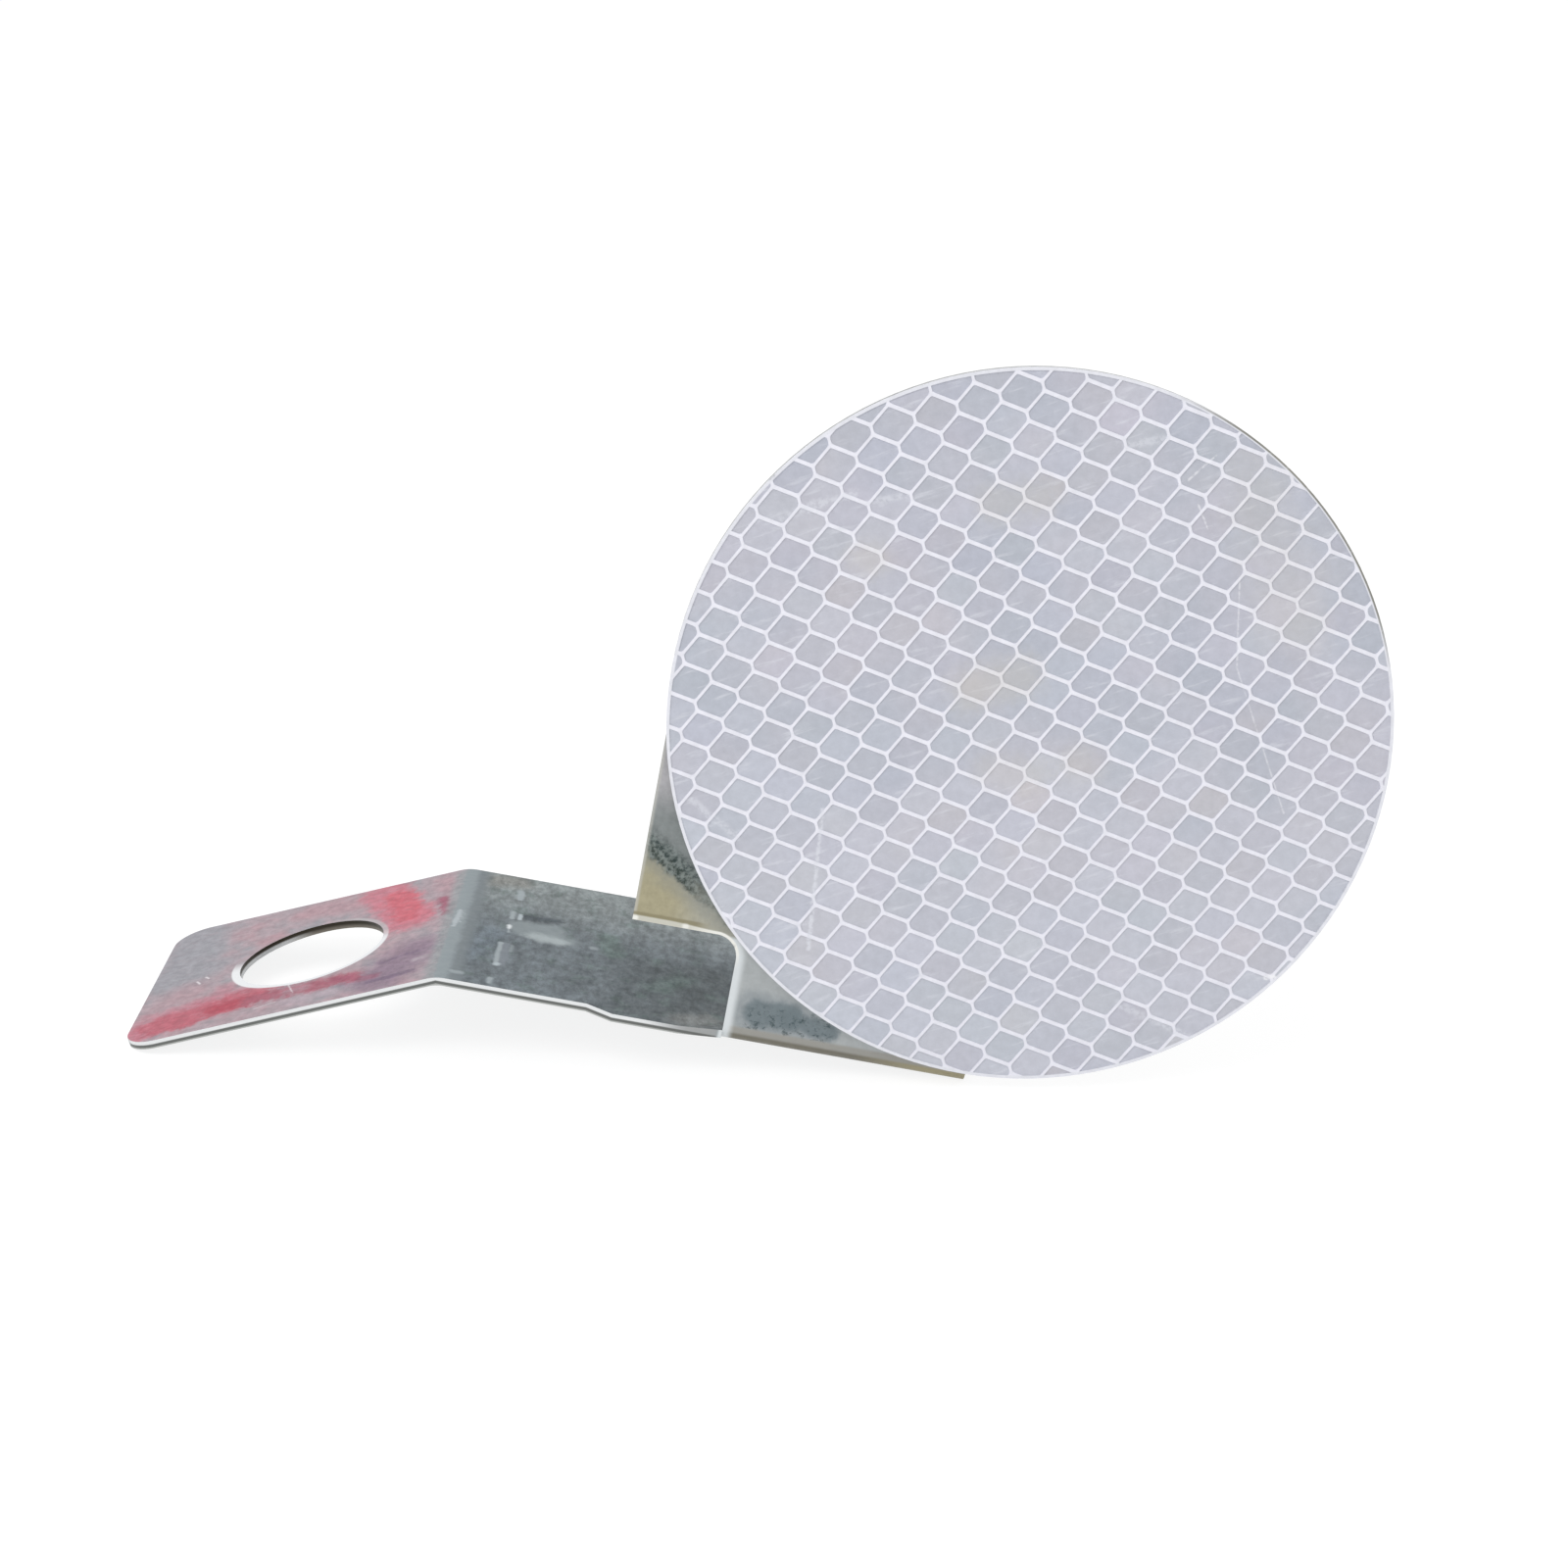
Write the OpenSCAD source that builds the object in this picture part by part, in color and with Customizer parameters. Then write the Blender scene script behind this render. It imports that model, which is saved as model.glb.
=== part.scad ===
// Round reflective marker on a folded galvanised bracket.
// The bracket is one blanked and folded sheet: a flat strip that runs back from a fold,
// a neck and head plate that stand up from its front edge, and a tab bent down at its left end.
// A round plate is riveted to the head plate, and honeycomb sheeting covers its face.
// x runs along the strip to the right, y runs back, z runs up. The marker stands as it does
// on a flat surface: on the tab's end and on the right end of the strip.

/* [Disc] */
// Diameter of the round plate and its sheeting
disc_d = 100; // [85:1:120]
// Thickness of the round plate
disc_t = 1.5; // [1.2:0.1:3]
// Height of the disc's rim above the underside of the fold
rim_lift = 2; // [1:0.1:6]

/* [Reflective sheeting] */
// Thickness of the sheeting at the floor of its cells
film_t = 0.3; // [0.2:0.05:0.6]
// Height of the honeycomb web above the floor of the cells
web_h = 0.12; // [0.08:0.02:0.3]
// Width of the plain rim round the honeycomb
rim_w = 0.45; // [0.3:0.05:2]
// Spacing of the cells along a row
cell_pitch = 5.92; // [5:0.02:8]
// Spacing of the rows
row_pitch = 3.42; // [3:0.02:5]
// Length of the short sides that close a cell at the ends of the row
cell_side = 1.3; // [0.8:0.1:1.8]
// Width of the thin lines of the web
line_w = 0.4; // [0.3:0.05:0.6]
// Width of the heavier lines, which run with the rows' falling side
heavy_line_w = 0.55; // [0.3:0.05:0.8]
// Angle of the rows to the strip
row_angle = 25; // [0:1:60]
// Place of the middle cell along its row, from the disc's centre
cell_shift = 0.87; // [-2:0.01:2]
// Place of the middle row, from the disc's centre
row_shift = 1.27; // [-1.5:0.01:1.5]

/* [Bracket sheet] */
// Thickness of the galvanised sheet
sheet_t = 1.2; // [1:0.1:2]
// Inner radius of the fold between strip and neck
fold_r = 1; // [0.6:0.1:3]
// Angle that the head plate leans back from square
lean = 6; // [0:0.5:12]

/* [Strip] */
// Width of the strip and the tab
strip_w = 43.5; // [36:0.5:60]
// Distance from the disc's centre back to the tab's bend line
bend_x = 75; // [68:1:95]
// How far the strip's front edge steps out before the neck
step_out = 2; // [0.5:0.1:4]
// Distance from the neck back to the end of that step
step_from_neck = 15.7; // [8:0.1:20]
// Length of the slope of that step
step_run = 3.8; // [2:0.1:8]
// Length of the front edge that the fold has drawn up, back from the neck
curl_run = 6.2; // [2:0.1:8]
// How far that edge is drawn up at the neck
curl_lift = 0.5; // [0.2:0.05:0.8]
// Radius of the hidden rear corner at the strip's right end
rear_corner_r = 6; // [2:0.5:12]

/* [Neck and head plate] */
// Width of the neck
neck_w = 35; // [30:0.5:45]
// Distance of the neck's right edge from the disc's centre
neck_right = 1.2; // [-3:0.1:6]
// Height of the head plate's lower edge above the underside of the fold
neck_h = 15.2; // [13:0.1:22]
// How far the head plate reaches out past the neck on each side
head_reach = 15.3; // [10:0.1:18]
// Height of the head plate
head_h = 48; // [36:1:56]
// Radius of the inner corners between neck and head plate
neck_fillet_r = 3.2; // [2:0.1:8]
// Radius of the head plate's upper corners
head_corner_r = 5; // [2:0.5:10]

/* [Tab] */
// Length of the tab from its bend line
tab_len = 46.7; // [42:0.1:70]
// Angle that the tab is bent down
tab_angle = 24.5; // [15:0.5:30]
// Inner radius of the tab's bend
tab_bend_r = 5; // [2:0.5:10]
// Radius of the tab's two corners
tab_corner_r = 5; // [2:0.5:9]
// Diameter of the bolt hole
hole_d = 22; // [18:0.5:26]
// Distance of the bolt hole from the bend line
hole_from_bend = 21.8; // [19:0.1:24]

/* [Rivets] */
// Diameter of a rivet's shank
rivet_d = 4; // [3:0.1:5]
// Diameter of the flush head in the disc plate
rivet_head_d = 7; // [6:0.1:9]
// Depth of the flush head
rivet_head_t = 1; // [0.6:0.1:1.1]
// Diameter of the formed tail behind the head plate
rivet_tail_d = 6.6; // [6:0.1:9]
// Height of the formed tail
rivet_tail_h = 1.7; // [1:0.1:3]
// Distance between the two rivets
rivet_spacing = 36; // [20:1:44]
// Distance of the rivets below the head plate's upper edge
rivet_drop = 14; // [10:1:26]
// Radial play of a rivet in its holes
rivet_play = 0.05; // [0.02:0.01:0.1]

/* [Hidden] */

$fn = 96;
// How far a cutting shape runs on past what it cuts
cut = 1;
fold_out_r = fold_r + sheet_t;
disc_r = disc_d / 2;
disc_z = disc_r + rim_lift - fold_out_r;
neck_left_x = neck_right - neck_w;
neck_mid_x = neck_right - neck_w / 2;
head_w = neck_w + 2 * head_reach;
head_z = neck_h - fold_out_r;
rear_y = step_out + strip_w;
step_end_x = neck_left_x - step_from_neck;
// How far the neck's section runs on into the strip, behind the fold
fold_lap = fold_r;
// How far the tab's corner circles pass its side edges, so that each crosses its edge in one clear line
graze = 0.01;

// The bend takes up this length of each top face beside the bend line
bend_out_r = tab_bend_r + sheet_t;
bend_setback = bend_out_r * tan(tab_angle / 2);
strip_start_x = bend_setback - bend_x;
tab_flat = tab_len - bend_setback;
hole_from_flat = hole_from_bend - bend_setback;
hole_y = step_out + strip_w / 2;

// The marker rolls until the tab's lower end edge is level with the strip's lower right edge
tab_end_x = -bend_x - tab_len * cos(tab_angle) + sheet_t * sin(tab_angle);
tab_end_z = sheet_t - tab_len * sin(tab_angle) - sheet_t * cos(tab_angle);
rest_roll = atan2(-tab_end_z, neck_right - tab_end_x);

hole_x = -bend_x - hole_from_bend * cos(tab_angle);
hole_z = sheet_t - hole_from_bend * sin(tab_angle);

rivet_z = head_z + head_h - rivet_drop;
rivet_grip = disc_t + sheet_t;
// Ball that rounds a rivet's tail: the tail is widest half way up
tail_ball_r = (pow(rivet_tail_d / 2, 2) + pow(rivet_tail_h / 2, 2)) / rivet_tail_h;

// Puts the marker in its resting place, with the origin at the bolt hole's upper rim
module at_rest() {
    rotate([0, rest_roll, 0])
        translate([-hole_x, -hole_y, -hole_z])
            children();
}

// Frame of the tab: its top face at z = 0, the end of the bend at x = 0, the tab along -x
module on_tab() {
    translate([strip_start_x, 0, -tab_bend_r])
        rotate([0, -tab_angle, 0])
            translate([0, 0, bend_out_r])
                children();
}

// Frame of the head plate: the fold's centre line at z = 0, the front face at y = -fold_out_r
module on_head() {
    translate([0, fold_out_r, fold_out_r])
        rotate([-lean, 0, 0])
            children();
}

// Frame of the disc: face outwards along z, its back on the head plate at z = 0
module on_disc() {
    on_head()
        translate([0, -fold_out_r, disc_z])
            rotate([90, 0, 0])
                children();
}

// Points of an arc round c, from angle a1 to a2
function arc(c, r, a1, a2, steps = 12) =
    [for (i = [0:steps]) let (a = a1 + (a2 - a1) * i / steps) c + r * [cos(a), sin(a)]];

// What a round corner takes away, for a corner at the origin of the first quadrant
module corner_waste(r) {
    difference() {
        translate([-cut, -cut])
            square(r + cut);
        translate([r, r])
            circle(r);
    }
}

// Section along the strip: the tab, its bend and the strip, in x and z
module strip_section() {
    c = [strip_start_x, -tab_bend_r];
    over = tab_flat + cut;
    tab_way = [-cos(tab_angle), -sin(tab_angle)];
    top = arc(c, bend_out_r, 90, 90 + tab_angle);
    under = arc(c, tab_bend_r, 90 + tab_angle, 90);
    polygon(concat(
        [[neck_right, sheet_t]], top,
        [top[len(top) - 1] + over * tab_way, under[0] + over * tab_way],
        under, [[neck_right, 0]]
    ));
}

// Section across the fold: a little of the strip, the fold and the head plate, in y and z
module head_section() {
    c = [fold_out_r, fold_out_r];
    over = head_z + head_h + cut;
    head_way = [sin(lean), cos(lean)];
    front = arc(c, fold_out_r, 270, 180 - lean);
    back = arc(c, fold_r, 180 - lean, 270);
    polygon(concat(
        [[fold_out_r + fold_lap, 0]], front,
        [front[len(front) - 1] + over * head_way, back[0] + over * head_way],
        back, [[fold_out_r + fold_lap, sheet_t]]
    ));
}

// Plan of the strip and the tab's width, less the drawn-up corner and the seat of the fold
module strip_outline() {
    far_x = -bend_x - tab_len - cut;
    difference() {
        polygon([
            [far_x, step_out],
            [step_end_x - step_run, step_out],
            [step_end_x, 0],
            [neck_left_x - curl_run, 0],
            [neck_left_x, fold_out_r],
            [neck_right, fold_out_r],
            [neck_right, rear_y],
            [far_x, rear_y]
        ]);
        translate([neck_right, rear_y])
            rotate(180)
                corner_waste(rear_corner_r);
    }
}

// What the tab's end loses: all past its length, and both corners
module tab_end_waste() {
    front_y = step_out + tab_corner_r - graze;
    back_y = rear_y - tab_corner_r + graze;
    difference() {
        translate([-tab_flat - 2 * cut, step_out - cut])
            square([2 * cut + tab_corner_r, strip_w + 2 * cut]);
        translate([-tab_flat, front_y])
            square([tab_corner_r, back_y - front_y]);
        for (y = [front_y, back_y])
            translate([tab_corner_r - tab_flat, y])
                circle(tab_corner_r);
    }
}

// Height above the strip's underside of what lies this far up the head plate's front face
function height(up) = fold_out_r + fold_out_r * sin(lean) + up * cos(lean);

// Outline of neck and head plate, seen along the strip's y, with the neck carried down past the fold
module head_outline() {
    low = height(head_z);
    high = height(head_z + head_h);
    difference() {
        union() {
            translate([neck_left_x, -cut])
                square([neck_w, low + 2 * cut]);
            translate([neck_mid_x - head_w / 2, low])
                square([head_w, high - low]);
            for (side = [-1, 1])
                translate([neck_mid_x + side * neck_w / 2, low])
                    rotate(side > 0 ? -90 : 180)
                        corner_waste(neck_fillet_r);
        }
        for (side = [-1, 1])
            translate([neck_mid_x + side * head_w / 2, high])
                rotate(side > 0 ? 180 : -90)
                    corner_waste(head_corner_r);
    }
}

// Strip and tab: the section drawn across the sheet's width, trimmed to its plan and drilled
module strip_and_tab() {
    difference() {
        intersection() {
            translate([0, rear_y + cut, 0])
                rotate([90, 0, 0])
                    linear_extrude(rear_y + 2 * cut)
                        strip_section();
            translate([0, 0, -tab_len])
                linear_extrude(2 * tab_len)
                    strip_outline();
        }
        on_tab()
            translate([0, 0, -sheet_t - cut])
                linear_extrude(sheet_t + 2 * cut)
                    tab_end_waste();
        on_tab()
            translate([-hole_from_flat, hole_y, -sheet_t - cut])
                cylinder(h = sheet_t + 2 * cut, d = hole_d);
    }
}

// Corner of the strip's front edge beside the neck, which the fold has drawn up along a slanting crease
module curled_corner() {
    plan = [[neck_left_x - curl_run, 0, 0], [neck_left_x, 0, curl_lift], [neck_left_x, fold_out_r, 0]];
    polyhedron(
        concat(plan, [for (p = plan) p + [0, 0, sheet_t]]),
        [[0, 1, 2], [5, 4, 3], [0, 3, 4, 1], [1, 4, 5, 2], [2, 5, 3, 0]]
    );
}

// Neck and head plate: the section drawn along the fold, trimmed to the outline
module neck_and_head() {
    back_y = fold_out_r + (head_z + head_h) * sin(lean) + cut;
    intersection() {
        translate([neck_mid_x - head_w / 2 - cut, 0, 0])
            rotate([90, 0, 90])
                linear_extrude(head_w + 2 * cut)
                    head_section();
        translate([0, back_y, 0])
            rotate([90, 0, 0])
                linear_extrude(back_y + cut)
                    head_outline();
    }
}

module bracket() {
    color("#8b9598") at_rest()
        difference() {
            union() {
                strip_and_tab();
                curled_corner();
                neck_and_head();
            }
            rivet_places()
                translate([0, 0, -sheet_t - cut])
                    cylinder(h = sheet_t + 2 * cut, d = rivet_d + 2 * rivet_play);
        }
}

// Both rivets' axes, or one of them, from the disc's back face
module rivet_places(sides = [-1, 1]) {
    for (side = sides)
        on_disc()
            translate([neck_mid_x + side * rivet_spacing / 2, rivet_z - disc_z, 0])
                children();
}

module disc_plate() {
    color("#c9ccd0") at_rest()
        difference() {
            on_disc()
                cylinder(h = disc_t, r = disc_r, $fn = 180);
            rivet_places() {
                translate([0, 0, -cut])
                    cylinder(h = disc_t + 2 * cut, d = rivet_d + 2 * rivet_play);
                translate([0, 0, disc_t - rivet_head_t])
                    rivet_head(rivet_play, cut);
            }
        }
}

// Flush head: a cone that opens to the disc's face, then a short straight stretch past it
module rivet_head(play, past) {
    cylinder(h = rivet_head_t, d1 = rivet_d + 2 * play, d2 = rivet_head_d + 2 * play);
    if (past > 0)
        translate([0, 0, rivet_head_t])
            cylinder(h = past, d = rivet_head_d + 2 * play);
}

// Countersunk shank through both sheets, closed by a formed tail behind the head plate
module rivet() {
    translate([0, 0, -sheet_t])
        cylinder(h = rivet_grip, d = rivet_d);
    translate([0, 0, disc_t - rivet_head_t])
        rivet_head(0, 0);
    translate([0, 0, -sheet_t - rivet_tail_h])
        rotate_extrude()
            intersection() {
                square([rivet_tail_d / 2, rivet_tail_h]);
                translate([0, tail_ball_r])
                    circle(tail_ball_r);
            }
}

module rivet_left() {
    color("#b4b8bb") at_rest()
        rivet_places([-1])
            rivet();
}

module rivet_right() {
    color("#b4b8bb") at_rest()
        rivet_places([1])
            rivet();
}

// Cell floor: a flattened hexagon, short sides across the row, each side set in by half its line
module cell_outline() {
    slope = atan2(2 * (row_pitch - cell_side), cell_pitch);
    half_len = (cell_pitch - line_w) / 2;
    rise = row_pitch - cell_side / 2;
    top = [for (w = [line_w, heavy_line_w]) rise - w / 2 / cos(slope)];
    run = tan(slope);
    peak_x = (top[1] - top[0]) / 2 / run;
    peak_y = top[0] + peak_x * run;
    polygon([
        [peak_x, peak_y],
        [half_len, top[1] - half_len * run],
        [half_len, half_len * run - top[0]],
        [-peak_x, -peak_y],
        [-half_len, half_len * run - top[1]],
        [-half_len, top[0] - half_len * run]
    ]);
}

// All cells of the sheeting whose middle lies within the rim, or just past it
module honeycomb() {
    reach = disc_r - rim_w + cell_side;
    rows = ceil(reach / row_pitch) + 1;
    columns = ceil(reach / cell_pitch) + 1;
    rotate(row_angle)
        for (j = [-rows:rows], i = [-columns:columns]) {
            x = (i + (j % 2 == 0 ? 0 : 0.5)) * cell_pitch + cell_shift;
            y = j * row_pitch + row_shift;
            if (norm([x, y]) < reach)
                translate([x, y])
                    cell_outline();
        }
}

module reflective_sheet() {
    color("#c3c5d0") at_rest()
        on_disc()
            translate([0, 0, disc_t])
                difference() {
                    cylinder(h = film_t + web_h, r = disc_r, $fn = 180);
                    translate([0, 0, film_t])
                        linear_extrude(web_h + cut)
                            intersection() {
                                circle(disc_r - rim_w, $fn = 180);
                                honeycomb();
                            }
                }
}

bracket();
disc_plate();
reflective_sheet();
rivet_left();
rivet_right();
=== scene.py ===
from math import atan2, cos, radians, sin, tan

import bmesh
import bpy
from mathutils import Matrix, Vector


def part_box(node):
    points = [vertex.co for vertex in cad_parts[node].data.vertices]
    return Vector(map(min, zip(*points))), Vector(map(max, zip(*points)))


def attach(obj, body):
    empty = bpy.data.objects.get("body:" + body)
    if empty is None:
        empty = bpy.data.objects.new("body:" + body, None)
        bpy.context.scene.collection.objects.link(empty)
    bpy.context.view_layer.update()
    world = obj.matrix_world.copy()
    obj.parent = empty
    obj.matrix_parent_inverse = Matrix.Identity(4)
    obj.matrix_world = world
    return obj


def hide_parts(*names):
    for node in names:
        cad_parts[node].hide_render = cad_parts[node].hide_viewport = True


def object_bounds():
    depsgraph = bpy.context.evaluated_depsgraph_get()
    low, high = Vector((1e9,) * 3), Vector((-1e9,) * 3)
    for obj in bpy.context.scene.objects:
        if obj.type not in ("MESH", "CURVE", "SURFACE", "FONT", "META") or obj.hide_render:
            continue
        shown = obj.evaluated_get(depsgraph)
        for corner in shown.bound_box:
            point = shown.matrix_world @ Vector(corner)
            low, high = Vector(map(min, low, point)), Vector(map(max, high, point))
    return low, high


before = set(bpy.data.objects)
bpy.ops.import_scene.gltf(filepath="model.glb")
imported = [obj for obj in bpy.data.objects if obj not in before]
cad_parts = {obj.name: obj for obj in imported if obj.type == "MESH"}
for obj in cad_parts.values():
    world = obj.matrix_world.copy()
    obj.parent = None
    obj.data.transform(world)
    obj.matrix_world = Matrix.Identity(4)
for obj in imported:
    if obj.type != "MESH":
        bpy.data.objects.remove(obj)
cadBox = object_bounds()
print("frame loaded:", sorted(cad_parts))

mm = 1000                    # millimetres in a metre

# the bracket as it was folded, in millimetres and degrees
bracketPlan = {
    "roll": 9.254,           # how far the strip rolls to rest on the tab's end
    "sheet": 1.2,
    "bendAt": -75.0,         # bend line between strip and tab, from the disc's centre
    "tabAngle": 24.5,
    "holeFromBend": 21.8,
    "holeY": 23.75,
    "holeRadius": 11.0,
    "lean": 6.0,             # the head plate leans back
    "foldRadius": 2.2,
    "neckLeft": -33.8,
    "headBottom": 13.0,      # from the fold's centre line, along the head plate
    "neckFillet": 3.2,
}


# small helpers for shader trees
# In the dictionaries below, a range for fade() is low, high and, unless they are 0 and 1, the values there.
# A pattern for noise() is its scale, detail, roughness and stretch.

def shown(r, g, b):
    # a colour as the screen shows it, 0 to 255, turned into linear light
    def channel(c):
        c /= 255
        return c / 12.92 if c <= 0.04045 else ((c + 0.055) / 1.055) ** 2.4
    return (channel(r), channel(g), channel(b), 1.0)


def plug(tree, socket, value):
    if value is None:
        return
    if isinstance(value, bpy.types.NodeSocket):
        tree.links.new(value, socket)
    elif socket.type == "RGBA" and len(value) == 3:
        socket.default_value = (*value, 1.0)
    else:
        socket.default_value = value


def add(tree, kind, inputs=None, **settings):
    node = tree.nodes.new("ShaderNode" + kind)
    for name, value in settings.items():
        setattr(node, name, value)
    for key, value in (inputs or {}).items():
        plug(tree, node.inputs[key], value)
    return node


def calc(tree, operation, a, b=None, c=None):
    return add(tree, "Math", {0: a, 1: b, 2: c}, operation=operation).outputs[0]


def vector(tree, operation, a, b=None, c=None, output=0):
    return add(tree, "VectorMath", {0: a, 1: b, 2: c}, operation=operation).outputs[output]


def scaled(tree, value, factor):
    return add(tree, "VectorMath", {0: value, "Scale": factor}, operation="SCALE").outputs[0]


def dot(tree, a, b):
    return vector(tree, "DOT_PRODUCT", a, b, output=1)


def fade(tree, value, low, high, toLow=0.0, toHigh=1.0):
    # smooth step of value between low and high
    inputs = {0: value, 1: low, 2: high, 3: toLow, 4: toHigh}
    return add(tree, "MapRange", inputs, interpolation_type="SMOOTHSTEP").outputs[0]


def both(tree, *masks):
    # product of masks
    product = masks[0]
    for mask in masks[1:]:
        product = calc(tree, "MULTIPLY", product, mask)
    return product


def blendColour(tree, share, a, b):
    # 6, 7 and 2 are a Mix node's colour sockets
    return add(tree, "Mix", {0: share, 6: a, 7: b}, data_type="RGBA", clamp_factor=True).outputs[2]


def noise(tree, place, scale, detail=2.0, rough=0.5, stretch=None, output=0):
    if stretch:
        place = vector(tree, "MULTIPLY", place, stretch)
    inputs = {"Vector": place, "Scale": scale, "Detail": detail, "Roughness": rough}
    return add(tree, "TexNoise", inputs).outputs[output]


def mottled(tree, colour, pattern, spread):
    # darkens and lightens the colour by a factor near 1
    return scaled(tree, colour, fade(tree, pattern, *spread))


def addRelief(tree, shader, height, strength, depth):
    bump = add(tree, "Bump", {"Strength": strength, "Distance": depth, "Height": height})
    plug(tree, shader.inputs["Normal"], bump.outputs[0])


def newGroup(name, inputs, outputs):
    # inputs and outputs are lists of (name, socket type, start value)
    tree = bpy.data.node_groups.new(name, "ShaderNodeTree")
    for label, kind, start in inputs:
        socket = tree.interface.new_socket(label, in_out="INPUT", socket_type="NodeSocket" + kind)
        if start is not None:
            socket.default_value = start
    for label, kind in outputs:
        tree.interface.new_socket(label, in_out="OUTPUT", socket_type="NodeSocket" + kind)
    return tree, tree.nodes.new("NodeGroupInput"), tree.nodes.new("NodeGroupOutput")


def useGroup(tree, group, inputs=None):
    node = tree.nodes.new("ShaderNodeGroup")
    node.node_tree = group
    for key, value in (inputs or {}).items():
        plug(tree, node.inputs[key], value)
    return node


# shared effects

def makeSheetFrames():
    # Object coordinates in metres to millimetres along each face of the bracket. Strip: x along it from
    # the disc's centre, y back, z up from its underside. Tab: the same, turned about the bend line, z from
    # its upper face. Head: turned about the fold's centre line, z up along the plate.
    plan = bracketPlan
    tree, _, out = newGroup("sheet frames", [], [
        ("Strip", "Vector"), ("Tab", "Vector"), ("Head", "Vector"), ("Facing", "Vector")])
    coords = add(tree, "TexCoord").outputs
    angle = radians(plan["tabAngle"])
    start = (plan["bendAt"] - plan["holeFromBend"] * cos(angle), plan["holeY"],
             plan["sheet"] - plan["holeFromBend"] * sin(angle))
    turn = (0, radians(-plan["roll"]), 0)
    normal = {"Vector": coords["Normal"], "Rotation": turn}
    facing = add(tree, "Mapping", normal, vector_type="VECTOR").outputs[0]
    strip = add(tree, "Mapping", {
        "Vector": coords["Object"], "Location": start, "Rotation": turn, "Scale": (mm, mm, mm)}).outputs[0]

    def turnedAbout(place, rotation):
        inputs = {"Vector": strip, "Location": place, "Rotation": rotation}
        return add(tree, "Mapping", inputs, vector_type="TEXTURE").outputs[0]

    tab = turnedAbout((plan["bendAt"], 0, plan["sheet"]), (0, -angle, 0))
    head = turnedAbout((0, plan["foldRadius"], plan["foldRadius"]), (-radians(plan["lean"]), 0, 0))
    for name, value in (("Strip", strip), ("Tab", tab), ("Head", head), ("Facing", facing)):
        plug(tree, out.inputs[name], value)
    return tree


def makeStroke():
    # 1 near the line from From to To, 0 beyond its half width; Ragged moves the edge, in millimetres
    tree, given, out = newGroup("stroke", [
        ("Place", "Vector", None), ("From", "Vector", None), ("To", "Vector", None),
        ("Half width", "Float", 1.0), ("Soft", "Float", 0.5), ("Ragged", "Float", 0.0),
    ], [("Mask", "Float")])
    fromEnd = vector(tree, "SUBTRACT", given.outputs["Place"], given.outputs["From"])
    run = vector(tree, "SUBTRACT", given.outputs["To"], given.outputs["From"])
    share = calc(tree, "DIVIDE", dot(tree, fromEnd, run), dot(tree, run, run))
    share = calc(tree, "MAXIMUM", calc(tree, "MINIMUM", share, 1.0), 0.0)
    away = vector(tree, "LENGTH", vector(tree, "SUBTRACT", fromEnd, scaled(tree, run, share)), output=1)
    frayed = calc(tree, "ADD", away, given.outputs["Ragged"])
    outer = calc(tree, "ADD", given.outputs["Half width"], given.outputs["Soft"])
    inner = calc(tree, "SUBTRACT", given.outputs["Half width"], given.outputs["Soft"])
    plug(tree, out.inputs["Mask"], fade(tree, frayed, inner, outer, 1.0, 0.0))
    return tree


spangleLook = {
    "wobble": (0.6, 3.0, 0.6),
    "wobbleSize": (1.6, 1.6, 1.6),
    "smallCells": 4.2,       # small cells along one big cell
    "bigMix": (0.5, 0.3, 0.2),
    "smallMix": (0.2, 0.5, 0.3),
    "bigShare": 0.65,
    "smallShare": 0.35,
    "grain": (1.1, 5.0, 0.6, (0.6, 1.0, 1.0)),
}


def makeSpangle():
    # zinc crystals: two sizes of cells, each with its own shade, and grain drawn out by the rolling
    look = spangleLook
    tree, given, out = newGroup("zinc spangle", [("Place", "Vector", None), ("Size", "Float", 3.0)],
                                [("Shade", "Float"), ("Grain", "Float")])
    place = given.outputs["Place"]
    wobble = noise(tree, place, *look["wobble"], output=1)
    bent = vector(tree, "ADD", place, vector(tree, "MULTIPLY", wobble, look["wobbleSize"]))
    rate = calc(tree, "DIVIDE", 1.0, given.outputs["Size"])
    smallRate = calc(tree, "MULTIPLY", rate, look["smallCells"])
    big = add(tree, "TexVoronoi", {"Vector": bent, "Scale": rate}, feature="SMOOTH_F1").outputs["Color"]
    small = add(tree, "TexVoronoi", {"Vector": bent, "Scale": smallRate}).outputs["Color"]
    bigShade = calc(tree, "MULTIPLY", dot(tree, big, look["bigMix"]), look["bigShare"])
    shade = calc(tree, "MULTIPLY_ADD", dot(tree, small, look["smallMix"]), look["smallShare"], bigShade)
    plug(tree, out.inputs["Shade"], shade)
    plug(tree, out.inputs["Grain"], noise(tree, place, *look["grain"]))
    return tree


sheetFrames = makeSheetFrames()
stroke = makeStroke()
spangle = makeSpangle()


def newMaterial(name, metallic, roughness):
    material = bpy.data.materials.new(name)
    material.use_nodes = True
    tree = material.node_tree
    shader = tree.nodes["Principled BSDF"]
    shader.inputs["Metallic"].default_value = metallic
    shader.inputs["Roughness"].default_value = roughness
    return material, tree, shader


def paintStrokes(tree, place, ragged, colour, strokes, look, smear=None):
    # lays each stroke over the colour so far; a smear mask lets it show through
    for start, end, halfWidth, soft, fray, tint, strength in strokes:
        mask = useGroup(tree, stroke, {
            "Place": place, "From": (*start, 0), "To": (*end, 0), "Half width": halfWidth, "Soft": soft,
            "Ragged": calc(tree, "MULTIPLY", ragged, fray)}).outputs[0]
        share = calc(tree, "MULTIPLY", mask, strength)
        if smear is not None:
            share = calc(tree, "MULTIPLY", share, smear)
        colour = blendColour(tree, share, colour, look[tint])
    return colour


fray = {"detail": (3.0, 0.6), "middle": 0.5, "coarseGain": 3.0, "fineGain": 1.5}


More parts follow.
